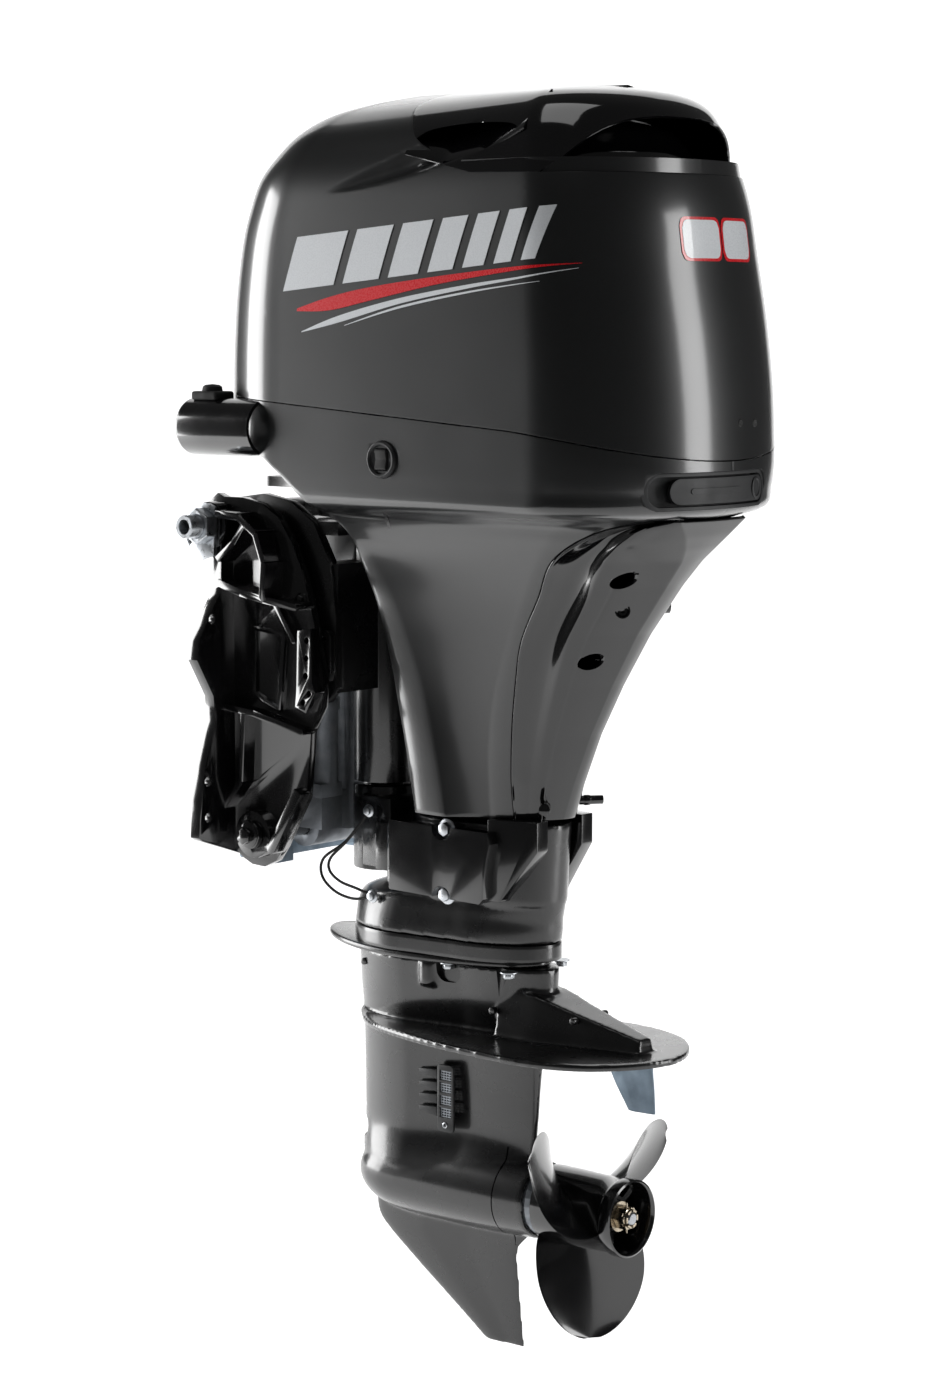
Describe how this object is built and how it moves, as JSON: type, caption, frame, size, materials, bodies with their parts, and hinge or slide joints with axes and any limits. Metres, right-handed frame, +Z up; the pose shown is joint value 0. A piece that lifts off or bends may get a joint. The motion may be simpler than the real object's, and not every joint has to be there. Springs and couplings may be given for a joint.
{
  "type": "outboard motor",
  "caption": "Long-shaft four-stroke outboard motor with clamp brackets, power trim and tilt, swivel steering, leg, gearcase and three-blade propeller.",
  "frame": {"origin": "transom seat: middle of the transom's top edge, on its aft face, where the clamp brackets bear", "axes": "+X aft, +Y starboard, +Z up with the motor trimmed fully in"},
  "size_m": [0.669, 0.38, 1.416],
  "materials": {
    "gloss_black": "gloss dark metallic enamel",
    "piano_black": "high-gloss moulded black",
    "satin_black": "satin black marine enamel",
    "prop_black": "gloss black enamel on aluminium",
    "trim_plastic": "textured black",
    "plated_steel": "zinc plated",
    "bare_casting": "grey painted casting",
    "anode_zinc": "bare cast zinc",
    "machined_steel": "machined",
    "stainless_nut": "machined stainless",
    "black_rubber": "moulded rubber",
    "black_enamel": "enamel"
  },
  "bodies": {
    "transom_bracket": {"clamp_bracket_starboard": "satin_black", "clamp_bracket_port": "satin_black", "tilt_tube": "plated_steel", "tilt_nut_port": "plated_steel", "tilt_nut_starboard": "plated_steel", "tilt_plate": "plated_steel", "lower_pin": "plated_steel", "bracket_anode": "anode_zinc"},
    "swivel": {"swivel_bracket": "satin_black"},
    "tilt_lock": {"tilt_lock_lever": "plated_steel"},
    "trim_unit": {"trim_cylinder": "bare_casting", "trim_pump": "bare_casting"},
    "trim_ram": {"trim_rod": "machined_steel", "trim_rod_pin": "machined_steel"},
    "motor": {"steering_bracket": "satin_black", "lower_yoke": "satin_black", "mid_case": "satin_black", "lower_mount_cover_starboard": "satin_black", "lower_mount_cover_port": "satin_black", "spacer_plate": "satin_black", "splash_plate": "satin_black", "gearcase": "satin_black", "intake_grille_starboard": "trim_plastic", "intake_grille_port": "trim_plastic", "trim_tab": "anode_zinc", "bearing_carrier": "bare_casting", "side_cover_port": "gloss_black", "side_cover_starboard": "gloss_black", "rear_cover": "piano_black", "rigging_tube": "satin_black", "rigging_grommet": "black_rubber", "switch_bezel": "trim_plastic", "latch_base": "trim_plastic", "bonding_lead": "black_rubber", "engine_block": "bare_casting", "cylinder_head": "bare_casting", "piston_1": "bare_casting", "piston_2": "bare_casting", "piston_3": "bare_casting", "starter_motor": "black_enamel"},
    "switch": {"switch_rocker": "trim_plastic"},
    "latch": {"latch_lever": "trim_plastic"},
    "hook": {"latch_hook": "plated_steel"},
    "upper_cowl": {"cowl": "gloss_black", "top_cap": "piano_black"},
    "driveline": {"crankshaft": "machined_steel", "flywheel": "machined_steel", "driveshaft": "machined_steel", "pinion_gear": "machined_steel", "pump_impeller": "black_rubber"},
    "ahead_gear": {"forward_gear": "machined_steel"},
    "astern_gear": {"reverse_gear": "machined_steel"},
    "shifter": {"shift_rod": "machined_steel"},
    "screw": {"prop_shaft": "machined_steel", "propeller": "prop_black", "prop_bush": "black_rubber", "thrust_washer": "stainless_nut", "prop_nut": "stainless_nut", "cotter_pin": "stainless_nut"},
    "dog": {"clutch_dog": "machined_steel"}
  },
  "joints": [
    {"name": "tilt", "type": "hinge", "parent": "transom_bracket", "child": "swivel", "pos_m": [-0.004, 0, 0.06], "axis": [0, -1, 0], "range_deg": [0, 70]},
    {"name": "steering", "type": "hinge", "parent": "swivel", "child": "motor", "pos_m": [0.133, 0, 0], "axis": [0, 0, 1], "range_deg": [-30, 30]},
    {"name": "tilt_lock_lever_turn", "type": "hinge", "parent": "swivel", "child": "tilt_lock", "pos_m": [0.142, -0.111, -0.064], "axis": [0, -1, 0], "range_deg": [0, 60]},
    {"name": "trim_unit_rock", "type": "hinge", "parent": "transom_bracket", "child": "trim_unit", "pos_m": [0.058, 0, -0.292], "axis": [0, 1, 0], "range_deg": [-1, 1.5]},
    {"name": "trim_ram_slide", "type": "slide", "parent": "trim_unit", "child": "trim_ram", "axis": [0, 0, 1], "range_m": [0, 0.0975]},
    {"name": "rocker_switch", "type": "hinge", "parent": "motor", "child": "switch", "pos_m": [0.282, -0.1705, 0.144], "axis": [1, 0, 0], "range_deg": [-10, 10], "stiffness_Nm_per_rad": 0.05},
    {"name": "latch_pull", "type": "hinge", "parent": "motor", "child": "latch", "pos_m": [0.6073, 0.066, 0.116], "axis": [0, 0, 1], "range_deg": [0, 40]},
    {"name": "hook_turn", "type": "hinge", "parent": "motor", "child": "hook", "pos_m": [0.566, 0, 0.126], "axis": [0, -1, 0], "range_deg": [0, 20]},
    {"name": "cowl_lift", "type": "slide", "parent": "motor", "child": "upper_cowl", "axis": [0, 0, 1], "range_m": [0, 0.45]},
    {"name": "crank_spin", "type": "hinge", "parent": "motor", "child": "driveline", "pos_m": [0.222, 0, 0], "axis": [0, 0, 1], "continuous": true},
    {"name": "forward_gear_spin", "type": "hinge", "parent": "motor", "child": "ahead_gear", "pos_m": [0.222, 0, -0.696], "axis": [1, 0, 0], "continuous": true},
    {"name": "reverse_gear_spin", "type": "hinge", "parent": "motor", "child": "astern_gear", "pos_m": [0.222, 0, -0.696], "axis": [1, 0, 0], "continuous": true},
    {"name": "shift_rod_travel", "type": "slide", "parent": "motor", "child": "shifter", "axis": [0, 0, 1], "range_m": [-0.007, 0.007]},
    {"name": "propeller_spin", "type": "hinge", "parent": "motor", "child": "screw", "pos_m": [0.4, 0, -0.696], "axis": [1, 0, 0], "continuous": true},
    {"name": "clutch_dog_slide", "type": "slide", "parent": "screw", "child": "dog", "axis": [1, 0, 0], "range_m": [-0.0015, 0.0015]}
  ],
  "couplings": [
    {"joint": "trim_ram_slide", "follows": "tilt", "m_per_rad": 0.0788},
    {"joint": "trim_unit_rock", "follows": "tilt", "ratio": 0.008},
    {"joint": "hook_turn", "follows": "latch_pull", "ratio": 0.5},
    {"joint": "forward_gear_spin", "follows": "crank_spin", "ratio": 0.44},
    {"joint": "reverse_gear_spin", "follows": "crank_spin", "ratio": -0.44},
    {"joint": "clutch_dog_slide", "follows": "shift_rod_travel", "ratio": 0.2}
  ]
}
